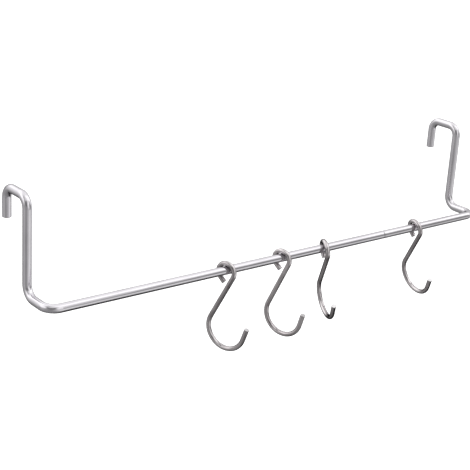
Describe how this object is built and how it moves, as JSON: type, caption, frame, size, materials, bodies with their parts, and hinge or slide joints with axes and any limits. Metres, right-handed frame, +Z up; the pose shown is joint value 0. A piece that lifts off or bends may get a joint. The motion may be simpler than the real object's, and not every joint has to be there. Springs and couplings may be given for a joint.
{
  "type": "over-the-door hook rack",
  "caption": "Round steel bar bent into hangers that drop over a door's top edge and carry a rail with captive, sliding S hooks.",
  "frame": {"origin": "where the top bars sit on the door's top edge, midway between the two hangers and midway through the door's thickness", "axes": "+X along the door's top edge, +Y through the door away from the rail, +Z up"},
  "size_m": [0.453, 0.0883, 0.1473],
  "materials": {
    "bar_steel": "bright satin, drawn along the bar",
    "hook_steel": "satin wire, drawn along its length",
    "pin_steel": "plain turned"
  },
  "bodies": {
    "rack": {"left_bar": "bar_steel", "right_bar": "bar_steel", "joining_pin": "pin_steel"},
    "hook_1": {"s_hook_1": "hook_steel"},
    "hook_2": {"s_hook_2": "hook_steel"},
    "hook_3": {"s_hook_3": "hook_steel"},
    "hook_4": {"s_hook_4": "hook_steel"}
  },
  "joints": [
    {"name": "hook_1_swing", "type": "hinge", "parent": "rack", "child": "hook_1", "pos_m": [0, -0.046, -0.0715], "axis": [1, 0, 0], "range_deg": [-190, 20]},
    {"name": "hook_2_swing", "type": "hinge", "parent": "rack", "child": "hook_2", "pos_m": [0, -0.046, -0.0715], "axis": [1, 0, 0], "range_deg": [-190, 22]},
    {"name": "hook_3_swing", "type": "hinge", "parent": "rack", "child": "hook_3", "pos_m": [0, -0.046, -0.0715], "axis": [1, 0, 0], "range_deg": [-190, 15]},
    {"name": "hook_4_swing", "type": "hinge", "parent": "rack", "child": "hook_4", "pos_m": [0, -0.046, -0.0715], "axis": [1, 0, 0], "range_deg": [-190, 15]}
  ]
}
